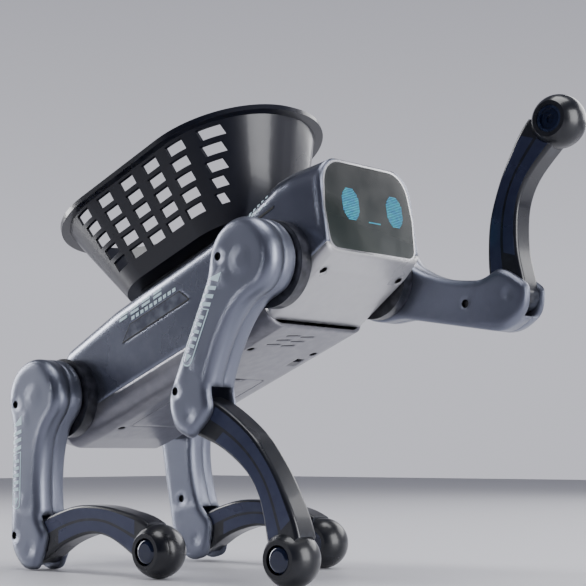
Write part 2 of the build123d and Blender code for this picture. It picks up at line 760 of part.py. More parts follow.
def vents():
    """Three rows of two short slots under the speaker."""
    for row in range(3):
        for column in range(2):
            with BuildSketch(deck_plane(BODY_BOTTOM)) as slot:
                with Locations((SPEAKER_X - 6 + 6 * row, -16 + 12 * column + 2 * row)):
                    SlotOverall(10, 2, rotation=80)
            extrude(slot.sketch, amount=BODY_WALL, mode=Mode.SUBTRACT)


def belly_casing():
    """Lower casing: battery opening, speaker vents, switch slot and board posts."""
    with BuildPart() as casing:
        add(fuselage())
        add(fuselage(BODY_WALL), mode=Mode.SUBTRACT)
        split(bisect_by=deck_plane(PARTING), keep=Keep.BOTTOM)
        screw_posts(belly_screw_planes(), BOARD_Z - BODY_BOTTOM - BODY_WALL / 2)
        with BuildSketch(deck_plane(BODY_BOTTOM, BATTERY_X)):
            RectangleRounded(DOOR[0] + 2 * WORKING_GAP, DOOR[1] + 2 * WORKING_GAP, 3)
        extrude(amount=BODY_WALL, mode=Mode.SUBTRACT)
        with BuildSketch(deck_plane(BODY_BOTTOM, SWITCH_X + SWITCH_TRAVEL / 2, SWITCH_Y)):
            Rectangle(
                SWITCH_KNOB[0] + SWITCH_TRAVEL + 2 * WORKING_GAP,
                SWITCH_KNOB[1] + 2 * WORKING_GAP,
            )
        extrude(amount=BODY_WALL, mode=Mode.SUBTRACT)
        vents()
        for plane in belly_screw_planes():
            screw_well(plane)
    return casing


def screen_face(grow=0.0):
    """The screen's outline on the face: soft corners above, tighter ones below."""
    with BuildSketch() as face:
        with BuildLine():
            Polyline(*SCREEN_OUTLINE, close=True)
        make_face()
        fillet(face.vertices().group_by(Axis.Y)[-1], SCREEN_TOP_CORNER)
        fillet(face.vertices().group_by(Axis.Y)[0], SCREEN_BOTTOM_CORNER)
        if grow:
            offset(amount=grow, kind=Kind.INTERSECTION, mode=Mode.REPLACE)
    return face.sketch


def head_casing():
    """Head above the chin: face wall with the screen's recess and the window behind it."""
    with BuildPart() as casing:
        add(head_form())
        add(head_form(BODY_WALL), mode=Mode.SUBTRACT)
        add(chin_bridge())
        split(bisect_by=chin_plane(), keep=Keep.TOP)
        with BuildSketch(face_plane()):
            add(screen_face(SEAT_FIT))
        extrude(amount=-SCREEN_THICKNESS, mode=Mode.SUBTRACT)
        with BuildSketch(face_plane(SCREEN_THICKNESS)):
            with Locations((0, WINDOW_Y)):
                Rectangle(*WINDOW)
        extrude(amount=-FACE_WALL, mode=Mode.SUBTRACT)
        hip_holes()
        for plane in chin_screw_planes():
            screw_well(plane)
    return casing


def chin_casing():
    """Pale chin below the head, held up to it by two screws at its corners."""
    with BuildPart() as casing:
        add(head_form())
        add(head_form(BODY_WALL), mode=Mode.SUBTRACT)
        add(chin_bridge())
        split(bisect_by=chin_plane(), keep=Keep.BOTTOM)
        with BuildSketch(face_plane()):
            add(screen_face(SEAT_FIT))
        extrude(amount=-SCREEN_THICKNESS, mode=Mode.SUBTRACT)
        for plane in chin_screw_planes():
            screw_well(plane)
    return casing


def screen_lens():
    """Glossy dark screen, flush in the face."""
    with BuildPart() as lens:
        with BuildSketch(face_plane(SCREEN_THICKNESS)):
            add(screen_face())
        extrude(amount=SCREEN_THICKNESS)
    return lens


def eye_lamps():
    """Two oval lamp arrays and a short mouth bar, between the display board and the screen."""
    with BuildPart() as lamps:
        with BuildSketch(face_plane(FACE_WALL)):
            left = GAZE_SHIFT + EYE_SPACING / 2
            right = GAZE_SHIFT - EYE_SPACING / 2
            with Locations((right, EYE_Y), (left, EYE_Y)):
                Ellipse(EYE[0] / 2, EYE[1] / 2)
            with Locations((GAZE_SHIFT, MOUTH_Y)):
                Rectangle(*MOUTH)
        extrude(amount=LAMP_THICKNESS)
    return lamps


def display_board():
    """Circuit board behind the face wall that carries the lamps."""
    with BuildPart() as board:
        with BuildSketch(face_plane(FACE_WALL)):
            with Locations((0, WINDOW_Y)):
                Rectangle(WINDOW[0] + 2 * BOARD_MARGIN, WINDOW[1] + 2 * BOARD_MARGIN)
        extrude(amount=-BOARD_THICKNESS)
    return board


def main_board():
    """Main circuit board on the belly's four posts."""
    with BuildPart() as board:
        with BuildSketch(deck_plane(BOARD_Z, (BELLY_SCREW_X[0] + BELLY_SCREW_X[1]) / 2)):
            length = BELLY_SCREW_X[1] - BELLY_SCREW_X[0] + 2 * POST_RADIUS
            RectangleRounded(length, BOARD_WIDTH + 2 * POST_RADIUS, 2)
        extrude(amount=BOARD_THICKNESS)
        with BuildSketch(deck_plane(BOARD_Z + BOARD_THICKNESS)):
            with Locations(*CHIP_SPOTS):
                Rectangle(CHIP[0], CHIP[1])
        extrude(amount=CHIP[2])
    return board


def battery_pack():
    """Rechargeable pack lying on the battery door."""
    with BuildPart() as pack:
        with BuildSketch(deck_plane(BODY_BOTTOM + BODY_WALL, BATTERY_X)):
            RectangleRounded(BATTERY[0], BATTERY[1], 4)
        extrude(amount=BATTERY[2])
    return pack


def battery_door():
    """Door flush in the belly, with a finger notch."""
    with BuildPart() as door:
        with BuildSketch(deck_plane(BODY_BOTTOM, BATTERY_X)):
            RectangleRounded(*DOOR, 3)
            with Locations((DOOR[0] / 2, 0)):
                SlotOverall(14, 5, rotation=90, mode=Mode.SUBTRACT)
        extrude(amount=BODY_WALL)
    return door


def speaker():
    """Round speaker over the vents."""
    with BuildPart() as cone:
        with BuildSketch(deck_plane(BODY_BOTTOM + BODY_WALL, SPEAKER_X - 2, -10)):
            Circle(SPEAKER_RADIUS)
        extrude(amount=SPEAKER_DEPTH)
    return cone


def power_switch():
    """Slide switch: a ribbed knob through the belly and a wider slider inside it."""
    with BuildPart() as knob:
        with BuildSketch(deck_plane(BODY_BOTTOM + SEAT_FIT, SWITCH_X, SWITCH_Y)):
            Rectangle(*SWITCH_KNOB)
        extrude(amount=BODY_WALL - SEAT_FIT + WORKING_GAP)
        with BuildSketch(deck_plane(BODY_BOTTOM + BODY_WALL + WORKING_GAP, SWITCH_X, SWITCH_Y)):
            Rectangle(SWITCH_KNOB[0] + 2, SWITCH_KNOB[1] + 3)
        extrude(amount=2)
    return knob


def port_face(shrink=0.0):
    """Outline of the charging socket on the body's rear wall."""
    with BuildSketch() as face:
        with Locations((0, PORT_Z)):
            SlotOverall(PORT[0] - 2 * shrink, PORT[1] - 2 * shrink)
    return face.sketch


def charge_port():
    """Charging socket in the body's rear wall."""
    with BuildPart() as port:
        with BuildSketch(section_plane(BODY_REAR)):
            add(port_face())
        extrude(amount=PORT[2])
        with BuildSketch(section_plane(BODY_REAR)):
            add(port_face(1.0))
        extrude(amount=PORT[2] - BODY_WALL, mode=Mode.SUBTRACT)
    return port


def hip_servos():
    """Four geared motors inside the side walls, on the hip and shoulder axes."""
    with BuildPart() as servos:
        for x in HIP_X:
            for side in (-1, 1):
                with BuildSketch(side_plane(side * (BODY_HALF_WIDTH - BODY_WALL))):
                    with Locations((x, 0)):
                        RectangleRounded(HIP_SERVO[0], HIP_SERVO[1], 2)
                extrude(amount=side * HIP_SERVO[2])
                with BuildSketch(side_plane(side * (BODY_HALF_WIDTH - BODY_WALL))):
                    with Locations((x, 0)):
                        Circle(HIP_SHAFT_RADIUS + RUNNING_FIT)
                extrude(amount=side * (HIP_SHAFT_IN_SERVO + WORKING_GAP), mode=Mode.SUBTRACT)
    return servos


def hip_drums():
    """Four black collars between the body's sides and the thighs, bored for the hip shafts."""
    with BuildPart() as drums:
        thickness = LEG_Y - HALF_THIGH - BODY_HALF_WIDTH - WORKING_GAP
        for x in HIP_X:
            for side in (-1, 1):
                with BuildSketch(side_plane(side * BODY_HALF_WIDTH)):
                    with Locations((x, 0)):
                        Circle(DRUM_RADIUS)
                        Circle(HIP_SHAFT_RADIUS + RUNNING_FIT, mode=Mode.SUBTRACT)
                extrude(amount=-side * thickness)
    return drums


def body_screws():
    """Four belly screws and two chin screws."""
    with BuildPart() as screws:
        for plane in belly_screw_planes() + chin_screw_planes():
            screw(plane)
    return screws


# ---- Basket ----
def basket_length(height):
    """Length of the flared wall at a height above the basket's underside."""
    flare = BASKET_RIM_LENGTH - 2 * RIM_LIP - BASKET_BOTTOM_LENGTH
    return BASKET_BOTTOM_LENGTH + flare * height / BASKET_HEIGHT


def basket_loft(inset, low, high):
    """The basket's flared form between two heights above its floor, inset all round."""
    with BuildPart() as form:
        for height in (low, high):
            share = height / BASKET_HEIGHT
            length = basket_length(height)
            width = BASKET_BOTTOM_WIDTH + share * (BASKET_RIM_WIDTH - 2 * RIM_LIP - BASKET_BOTTOM_WIDTH)
            corner = BASKET_BOTTOM_CORNER + share * (BASKET_RIM_CORNER - RIM_LIP - BASKET_BOTTOM_CORNER)
            middle = BASKET_BOTTOM_X + share * (BASKET_RIM_X - BASKET_BOTTOM_X)
            with BuildSketch(deck_plane(BASKET_FLOOR + height, middle)):
                RectangleRounded(length - 2 * inset, width - 2 * inset, corner - inset)
        loft(ruled=True)
    return form


def basket():
    """Lift-off basket: flared wall with slotted sides, flanged rim and two peg holes below."""
    rim_low = BASKET_HEIGHT - RIM_THICKNESS
    with BuildPart() as tub:
        add(basket_loft(0, 0, BASKET_HEIGHT))
        with BuildSketch(deck_plane(BASKET_FLOOR + rim_low, BASKET_RIM_X)):
            RectangleRounded(BASKET_RIM_LENGTH, BASKET_RIM_WIDTH, BASKET_RIM_CORNER)
        extrude(amount=RIM_THICKNESS)
        add(basket_loft(BASKET_WALL, BASKET_WALL, BASKET_HEIGHT + 1), mode=Mode.SUBTRACT)
        with BuildSketch(deck_plane(BASKET_FLOOR)):
            with Locations((BASKET_BOTTOM_X - PEG_SPACING / 2, 0), (BASKET_BOTTOM_X + PEG_SPACING / 2, 0)):
                Rectangle(PEG_SIDE + 2 * WORKING_GAP, PEG_SIDE + 2 * WORKING_GAP)
        extrude(amount=BASKET_WALL, mode=Mode.SUBTRACT)
        with BuildSketch(side_plane(0)):
            for row, leading_length in enumerate(LEADING_SLOTS):
                z = SLOT_TOP_Z - row * SLOT_ROW_PITCH
                spread = basket_length(z - BASKET_FLOOR) / basket_length(SLOT_TOP_Z - BASKET_FLOOR)
                for column in range(SLOT_COLUMNS + 1):
                    top_x = SLOT_FIRST_X + column * SLOT_COLUMN_PITCH
                    leads = column == SLOT_COLUMNS
                    with Locations((BASKET_BOTTOM_X + spread * (top_x - BASKET_BOTTOM_X), z)):
                        Rectangle(leading_length if leads else SLOT_LENGTH, SLOT_HEIGHT)
        extrude(amount=BASKET_RIM_WIDTH, both=True, mode=Mode.SUBTRACT)
    return tub


def basket_saddle():
    """Saddle fixed on the back: its top carries the basket, and two pegs locate it."""
    with BuildPart() as saddle:
        with BuildSketch(deck_plane(BACK_HEIGHT - 8, BASKET_BOTTOM_X)):
            RectangleRounded(SADDLE_LENGTH, SADDLE_WIDTH, 6)
        extrude(amount=BASKET_FLOOR - WORKING_GAP - BACK_HEIGHT + 8)
        add(fuselage(), mode=Mode.SUBTRACT)
        with BuildSketch(deck_plane(BASKET_FLOOR - WORKING_GAP)):
            with Locations((BASKET_BOTTOM_X - PEG_SPACING / 2, 0), (BASKET_BOTTOM_X + PEG_SPACING / 2, 0)):
                Rectangle(PEG_SIDE, PEG_SIDE)
        extrude(amount=WORKING_GAP + BASKET_WALL - PEG_SETBACK)
    return saddle


for leg_name, leg in LEGS.items():
    save(thigh_shell(leg, 1), f"{leg_name}_thigh_outer")
    save(thigh_shell(leg, -1), f"{leg_name}_thigh_inner")
    save(thigh_screws(leg), f"{leg_name}_thigh_screws")
    save(hip_shaft(leg), f"{leg_name}_hip_shaft")
    save(knee_servo(leg), f"{leg_name}_knee_servo")
    save(knee_pin(leg), f"{leg_name}_knee_pin")
    save(shin_arm(leg), f"{leg_name}_shin")
    save(shin_inlays(leg), f"{leg_name}_shin_inlays")
    save(foot_ball(leg), f"{leg_name}_foot_ball")
    save(foot_caps(leg), f"{leg_name}_foot_caps")

save(back_casing(), "back_casing")
save(belly_casing(), "belly_casing")
save(head_casing(), "head_casing")
save(chin_casing(), "chin_casing")
save(screen_lens(), "screen_lens")
save(eye_lamps(), "eye_lamps")
save(display_board(), "display_board")
save(main_board(), "main_board")
save(battery_pack(), "battery_pack")
save(battery_door(), "battery_door")
save(speaker(), "speaker")
save(power_switch(), "power_switch")
save(charge_port(), "charge_port")
save(side_accents(), "side_accents")
save(hip_servos(), "hip_servos")
save(hip_drums(), "hip_drums")
save(body_screws(), "body_screws")
save(basket(), "basket")
save(basket_saddle(), "basket_saddle")
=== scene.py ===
import json
import math

import bmesh
import bpy
from bpy.props import FloatProperty, FloatVectorProperty, IntProperty, PointerProperty
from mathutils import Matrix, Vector


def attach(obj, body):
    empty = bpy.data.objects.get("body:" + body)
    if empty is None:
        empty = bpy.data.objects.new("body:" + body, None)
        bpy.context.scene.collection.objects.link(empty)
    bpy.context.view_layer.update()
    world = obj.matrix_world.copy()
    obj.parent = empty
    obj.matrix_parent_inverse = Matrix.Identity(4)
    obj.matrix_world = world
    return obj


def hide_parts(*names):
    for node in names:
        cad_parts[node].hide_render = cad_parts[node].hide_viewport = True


bl_info = {
    "name": "Robot Dog Toy",
    "version": (1, 0, 0),
    "blender": (4, 5, 0),
    "location": "3D View > Sidebar > Robot Dog",
    "description": "Builds the finished look of a robot dog toy round its packed construction",
    "category": "Object",
}

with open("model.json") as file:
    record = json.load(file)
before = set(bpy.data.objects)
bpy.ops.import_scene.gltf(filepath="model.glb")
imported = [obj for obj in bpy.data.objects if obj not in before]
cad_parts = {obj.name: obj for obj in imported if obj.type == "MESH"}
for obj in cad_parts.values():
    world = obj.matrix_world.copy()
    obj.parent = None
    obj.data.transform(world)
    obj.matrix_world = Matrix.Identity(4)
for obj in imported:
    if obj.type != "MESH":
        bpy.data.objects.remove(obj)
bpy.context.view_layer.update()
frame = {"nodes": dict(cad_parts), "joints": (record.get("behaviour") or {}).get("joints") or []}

MM = 0.001

# ---- The toy's own sizes: millimetres, in the body's or a limb's own frame ----
PITCH = math.radians(22.0)                # nose-up tilt of the body
HALF_WIDTH = 41.0                         # of the body
NECK = 74.0                               # where body and head meet
LEG_Y = 60.0                              # a leg's mid-plane
LEG_ANGLES = {                            # side, and the thigh's angle from straight down
    "rear_right": (-1, 0.0),
    "rear_left": (1, 11.5),
    "front_right": (-1, -24.7),
    "front_left": (1, 80.5),
}
# Along the body and head: x, the upper edge and the rounding of its corner.
BACK_TOPS = (
    (-86.0, 32.0, 11.0),
    (-40.0, 36.5, 11.0),
    (NECK - 0.1, 39.5, 11.0),
    (NECK, 40.0, 11.0),
    (104.0, 46.5, 12.0),
    (114.0, 46.5, 13.0),
)

THIGH_LENGTH = 89.0
HALF_THIGH = 11.0
THIGH_ROUNDING = 5.4
THIGH_FLAT_BACK = -15.6                   # where the flat outer face starts to round off
BAND_STEPS = (-10.4, -15.6, -16.2, -16.8, -17.3, -17.8, -18.2)

FACE_LEAN = math.radians(13.5)
FACE_TOP_X = 137.5
FACE_TOP = 43.0
# The screen's corners on the face, with the radius of each, from its foot round to its right.
SCREEN_CORNERS = (
    (-36.5, -50.3, 6.0), (36.5, -50.3, 6.0), (38.5, -28.0, 0.0),
    (35.0, -1.2, 15.0), (-35.0, -1.2, 15.0), (-38.5, -28.0, 0.0),
)
EYES = ((-16.0, -24.2), (23.0, -24.2))
EYE_HALF = (7.5, 9.5)
MOUTH_PLACE = (3.5, -32.9)
MOUTH_HALF = (5.5, 0.6)

ACCENT_EDGE = ((-36.0, 13.0), (-27.0, 20.0), (17.0, 20.0), (22.0, 13.0))
ACCENT_RIM = ((-37.4, 12.4), (-27.3, 20.5), (17.4, 20.5), (23.1, 12.4))
PRINT_SINK = 0.15                         # side prints start this far under the surface they follow
HEAD_SLOT = ((81.0, 29.4), (99.5, 30.6), (100.6, 31.8), (81.6, 30.9))

# Screw wells. A thigh's are x, the drop below the hip, and 1 for its outer face or -1 for its inner.
WELL_RADIUS = 2.4
WELL_DEPTH = 3.4
THIGH_WELLS = (
    (-16.5, 4.0, 1), (-15.5, THIGH_LENGTH - 7.0, 1),
    (-8.0, 13.0, -1), (-8.0, THIGH_LENGTH - 27.0, -1),
)
BODY_BOTTOM = -28.0
BELLY_WELL_X = (-70.0, 44.0)
BELLY_WELL_Y = 27.0
CHIN_WELL = (NECK + 39.0, 33.0, -13.47)   # ahead, out to either side, and up
CHIN_RISE = 0.27                          # slope of the chin's underside at its wells

VENT_START = (52.0, -16.0)
VENT_ROW_STEP = (6.0, 2.0)
VENT_COLUMN_STEP = 12.0
VENT_TURN = math.radians(80.0)
VENT_HALF = (4.0, 0.95)
VENT_SHADE_INSIDE = 0.6                         # the black strips of painted shade lie this far up inside the slots


# ---- Places, read from the frame ----
def joint_place(name):
    """A joint's pivot in millimetres."""
    found = next(j for j in frame["joints"] if j["name"] == name)
    return [value / MM for value in found["pos_m"]]


def body_middle():
    """The point halfway between hip and shoulder pivots, x and z in millimetres."""
    rear = joint_place("rear_right_hip")
    front = joint_place("front_right_hip")
    return ((rear[0] + front[0]) / 2, (rear[2] + front[2]) / 2)


BODY_X, BODY_Z = body_middle()


def body_spot(x, y, z):
    """A point of the body's own frame, in metres."""
    return Vector((
        (BODY_X + x * math.cos(PITCH) - z * math.sin(PITCH)) * MM,
        y * MM,
        (BODY_Z + x * math.sin(PITCH) + z * math.cos(PITCH)) * MM,
    ))


def face_spot(x, y, depth=0.0):
    """A point on the leaning face: x to the dog's left, y up from its upper edge."""
    lean = PITCH - FACE_LEAN
    top = body_spot(FACE_TOP_X, 0, FACE_TOP)
    up = Vector((-math.sin(lean), 0, math.cos(lean)))
    return top + (Vector((0, x, 0)) + up * y - face_out() * depth) * MM


def face_out():
    """The direction that the face looks in."""
    lean = PITCH - FACE_LEAN
    return Vector((math.cos(lean), 0, math.sin(lean)))


def body_down():
    """Straight down from the body's underside."""
    return Vector((math.sin(PITCH), 0, -math.cos(PITCH)))


def thigh_spot(leg, x, down, out):
    """A point of a thigh: x forwards, down from the hip, out from the leg's mid-plane."""
    side, degrees = LEG_ANGLES[leg]
    hip = joint_place(leg + "_hip")
    a = math.radians(degrees)
    return Vector((
        (hip[0] + x * math.cos(a) + down * math.sin(a)) * MM,
        side * (LEG_Y + out) * MM,
        (hip[2] + x * math.sin(a) - down * math.cos(a)) * MM,
    ))


# ---- Settings ----
def colour(name, text, value):
    return FloatVectorProperty(
        name=name, description=text, subtype="COLOR", size=3, min=0, max=1, default=value
    )


def length(name, text, value):
    return FloatProperty(name=name, description=text, default=value, min=0, unit="LENGTH")


class RobotDogSizes(bpy.types.PropertyGroup):
    print_height: length("Print height", "How far printed marks stand off a shell", 0.00012)
    lamp_radius: length("Lamp radius", "Radius of each lamp dot in the eyes", 0.00034)
    lamp_pitch: length("Lamp pitch", "Distance between lamp dots", 0.00095)
    bezel_width: length("Bezel width", "Width of the bright edge round the screen", 0.0011)
    floor_size: length("Floor size", "Width of the floor", 6.0)
    bezel_steps: IntProperty(name="Bezel steps", description="Points round each corner", default=14)


class RobotDogFinishes(bpy.types.PropertyGroup):
    shell: colour("Shell", "Metallic silver-blue of the casings", (0.20, 0.215, 0.275))
    chin: colour("Chin", "Pale silver of the chin", (0.46, 0.46, 0.48))
    belly: colour("Belly", "Pale silver-grey of the belly", (0.22, 0.22, 0.25))
    accent: colour("Accent", "Slate panel let into the sides", (0.05, 0.056, 0.09))
    screen: colour("Screen", "Smoked screen", (0.012, 0.014, 0.014))
    lamps: colour("Lamps", "Light of the eyes", (0.0, 0.20, 0.42))
    basket: colour("Basket", "Satin black with a navy tint", (0.006, 0.007, 0.014))
    black: colour("Black", "Drums and arms", (0.008, 0.009, 0.014))
    inlay: colour("Inlay", "Slate-blue strips in the arms", (0.035, 0.042, 0.09))
    foot: colour("Foot", "Ball feet", (0.007, 0.008, 0.012))
    cap: colour("Cap", "Navy caps in the feet", (0.006, 0.012, 0.04))
    marks: colour("Marks", "Pale printed marks", (0.72, 0.93, 1.0))
    # Black used as painted shade inside the screw wells and vent slots, and for the dark edge round each
    # accent panel and the slot line on the head's sides.
    well: colour("Wells", "Black linings of the screw wells", (0.002, 0.002, 0.003))


# ---- Shader groups ----
def new_group(name, inputs, outputs):
    """An empty shader group with named sockets, and its input and output nodes."""
    group = bpy.data.node_groups.new(name, "ShaderNodeTree")
    for label, kind, value in inputs:
        socket = group.interface.new_socket(name=label, in_out="INPUT", socket_type=kind)
        socket.default_value = value
    for label, kind in outputs:
        group.interface.new_socket(name=label, in_out="OUTPUT", socket_type=kind)
    return group, group.nodes.new("NodeGroupInput"), group.nodes.new("NodeGroupOutput")


def noise(tree, scale, detail=4.0):
    """Noise laid through the object's own space."""
    place = tree.nodes.new("ShaderNodeTexCoord")
    texture = tree.nodes.new("ShaderNodeTexNoise")
    texture.inputs["Detail"].default_value = detail
    tree.links.new(place.outputs["Object"], texture.inputs["Vector"])
    if isinstance(scale, bpy.types.NodeSocket):
        tree.links.new(scale, texture.inputs["Scale"])
    else:
        texture.inputs["Scale"].default_value = scale
    return texture


def remap(tree, source, low, high, to_low=0.0, to_high=1.0):
    """A value stretched from one range to another."""
    node = tree.nodes.new("ShaderNodeMapRange")
    tree.links.new(source, node.inputs["Value"])
    for label, value in (("From Min", low), ("From Max", high), ("To Min", to_low), ("To Max", to_high)):
        if isinstance(value, bpy.types.NodeSocket):
            tree.links.new(value, node.inputs[label])
        else:
            node.inputs[label].default_value = value
    return node.outputs["Result"]


def grain_group():
    """Fine moulded or sprayed grain: colour, roughness and height that vary over the surface."""
    group, given, out = new_group(
        "Moulded Grain",
        [
            ("Color", "NodeSocketColor", (0.5, 0.5, 0.5, 1)),
            ("Scale", "NodeSocketFloat", 900.0),
            ("Colour Change", "NodeSocketFloat", 0.1),
            ("Low Roughness", "NodeSocketFloat", 0.25),
            ("High Roughness", "NodeSocketFloat", 0.35),
        ],
        [("Color", "NodeSocketColor"), ("Roughness", "NodeSocketFloat"), ("Height", "NodeSocketFloat")],
    )
    fine = noise(group, given.outputs["Scale"], 2.0)
    broad = noise(group, 22.0)
    shade = group.nodes.new("ShaderNodeMath")
    shade.operation = "MULTIPLY_ADD"
    centred = remap(group, broad.outputs["Fac"], 0.3, 0.7, -1.0, 1.0)
    group.links.new(centred, shade.inputs[0])
    group.links.new(given.outputs["Colour Change"], shade.inputs[1])
    shade.inputs[2].default_value = 1.0
    tinted = group.nodes.new("ShaderNodeVectorMath")
    tinted.operation = "SCALE"
    group.links.new(given.outputs["Color"], tinted.inputs[0])
    group.links.new(shade.outputs[0], tinted.inputs["Scale"])
    rough = remap(
        group, broad.outputs["Fac"], 0.3, 0.7,
        given.outputs["Low Roughness"], given.outputs["High Roughness"],
    )
    group.links.new(tinted.outputs[0], out.inputs["Color"])
    group.links.new(rough, out.inputs["Roughness"])
    group.links.new(fine.outputs["Fac"], out.inputs["Height"])
    return group


def wear_group():
    """Rubbed convex edges, broken up so the rubbing is uneven."""
    group, given, out = new_group(
        "Edge Wear",
        [
            ("Color", "NodeSocketColor", (0.5, 0.5, 0.5, 1)),
            ("Edge Color", "NodeSocketColor", (0.8, 0.8, 0.8, 1)),
            ("Amount", "NodeSocketFloat", 0.5),
        ],
        [("Color", "NodeSocketColor"), ("Mask", "NodeSocketFloat")],
    )
    shape = group.nodes.new("ShaderNodeNewGeometry")
    edge = remap(group, shape.outputs["Pointiness"], 0.52, 0.62)
    patches = remap(group, noise(group, 160.0).outputs["Fac"], 0.4, 0.65)
    rubbed = group.nodes.new("ShaderNodeMath")
    rubbed.operation = "MULTIPLY"
    group.links.new(edge, rubbed.inputs[0])
    group.links.new(patches, rubbed.inputs[1])
    mask = group.nodes.new("ShaderNodeMath")
    mask.operation = "MULTIPLY"
    mask.use_clamp = True
    group.links.new(rubbed.outputs[0], mask.inputs[0])
    group.links.new(given.outputs["Amount"], mask.inputs[1])
    mixed = group.nodes.new("ShaderNodeMix")
    mixed.data_type = "RGBA"
    group.links.new(mask.outputs[0], mixed.inputs["Factor"])
    group.links.new(given.outputs["Color"], mixed.inputs[6])
    group.links.new(given.outputs["Edge Color"], mixed.inputs[7])
    group.links.new(mixed.outputs[2], out.inputs["Color"])
    group.links.new(mask.outputs[0], out.inputs["Mask"])
    return group


def dust_group():
    """Thin dust that settles on faces turned upwards."""
    group, given, out = new_group(
        "Settled Dust",
        [("Color", "NodeSocketColor", (0.5, 0.5, 0.5, 1)), ("Amount", "NodeSocketFloat", 0.1)],
        [("Color", "NodeSocketColor"), ("Mask", "NodeSocketFloat")],
    )
    shape = group.nodes.new("ShaderNodeNewGeometry")
    split = group.nodes.new("ShaderNodeSeparateXYZ")
    group.links.new(shape.outputs["Normal"], split.inputs[0])
    upward = remap(group, split.outputs["Z"], 0.3, 1.0)
    patches = remap(group, noise(group, 70.0, 6.0).outputs["Fac"], 0.45, 0.7)
    both = group.nodes.new("ShaderNodeMath")
    both.operation = "MULTIPLY"
    group.links.new(upward, both.inputs[0])
    group.links.new(patches, both.inputs[1])
    mask = group.nodes.new("ShaderNodeMath")
    mask.operation = "MULTIPLY"
    group.links.new(both.outputs[0], mask.inputs[0])
    group.links.new(given.outputs["Amount"], mask.inputs[1])
    mixed = group.nodes.new("ShaderNodeMix")
    mixed.data_type = "RGBA"
    mixed.inputs[7].default_value = (0.5, 0.49, 0.47, 1)
    group.links.new(mask.outputs[0], mixed.inputs["Factor"])
    group.links.new(given.outputs["Color"], mixed.inputs[6])
    group.links.new(mixed.outputs[2], out.inputs["Color"])
    group.links.new(mask.outputs[0], out.inputs["Mask"])
    return group


# name: colour, metallic, roughness range, coat, grain scale, bump in metres, edge colour, wear, dust
FINISHES = {
    "shell": ("shell", 0.85, (0.25, 0.29), 0.25, 2600, 0.000005, (0.6, 0.63, 0.72), 0.1, 0.02),
    "limb": ("shell", 0.85, (0.33, 0.36), 0.1, 2600, 0.000005, (0.6, 0.63, 0.72), 0.1, 0.02),
    "chin": ("chin", 0.45, (0.26, 0.32), 0.4, 2600, 0.000005, (0.85, 0.85, 0.87), 0.1, 0.02),
    "belly": ("belly", 0.6, (0.3, 0.37), 0.3, 2200, 0.000008, (0.6, 0.6, 0.64), 0.15, 0.02),
    "accent": ("accent", 0.4, (0.3, 0.38), 0.2, 1500, 0.000012, (0.3, 0.34, 0.42), 0.3, 0.03),
    "basket": ("basket", 0.2, (0.26, 0.31), 0.2, 1800, 0.0000005, (0.02, 0.02, 0.03), 0.0, 0.004),
    "black": ("black", 0.1, (0.28, 0.4), 0.25, 1400, 0.000018, (0.08, 0.08, 0.1), 0.45, 0.04),
    "shin": ("black", 0.2, (0.25, 0.36), 0.3, 1400, 0.000018, (0.09, 0.1, 0.13), 0.5, 0.04),
    "inlay": ("inlay", 0.5, (0.26, 0.34), 0.3, 1600, 0.000006, (0.1, 0.12, 0.2), 0.2, 0.02),
    "tyre": ("foot", 0.15, (0.22, 0.34), 0.2, 1100, 0.000008, (0.06, 0.06, 0.07), 0.3, 0.06),
    "cap": ("cap", 0.35, (0.12, 0.2), 0.6, 1800, 0.000005, (0.1, 0.14, 0.24), 0.4, 0.02),
    "servo": ("black", 0.0, (0.45, 0.6), 0.0, 1200, 0.00003, (0.06, 0.06, 0.06), 0.3, 0.02),
    "marks": ("marks", 0.0, (0.35, 0.45), 0.1, 1600, 0.000004, (0.8, 0.95, 1.0), 0.2, 0.01),
    # Painted shade in wells and vents, and the dark edges and slot lines on the sides.
    "well": ("well", 0.0, (0.5, 0.6), 0.0, 1600, 0.000004, (0.01, 0.01, 0.012), 0.1, 0.0),
}
FIXED_COLOURS = {
    "steel": ((0.5, 0.5, 0.52), 1.0, (0.22, 0.34), 0.0, 2200, 0.00001, (0.7, 0.7, 0.7), 0.3, 0.0),
    "screw": ((0.02, 0.02, 0.023), 0.8, (0.3, 0.42), 0.0, 2200, 0.00001, (0.2, 0.2, 0.2), 0.6, 0.0),
    "board": ((0.01, 0.09, 0.04), 0.0, (0.3, 0.42), 0.3, 900, 0.00002, (0.03, 0.16, 0.08), 0.3, 0.02),
    "battery": ((0.02, 0.05, 0.2), 0.0, (0.3, 0.4), 0.2, 900, 0.00001, (0.1, 0.14, 0.3), 0.3, 0.02),
    "bezel": ((0.8, 0.8, 0.82), 0.9, (0.12, 0.2), 0.4, 2000, 0.000004, (0.9, 0.9, 0.92), 0.2, 0.0),
}
# How far the light rolls round the edges of these finishes, in metres.
SOFT_EDGES = {"shell": 0.004, "limb": 0.006, "chin": 0.004, "belly": 0.003}


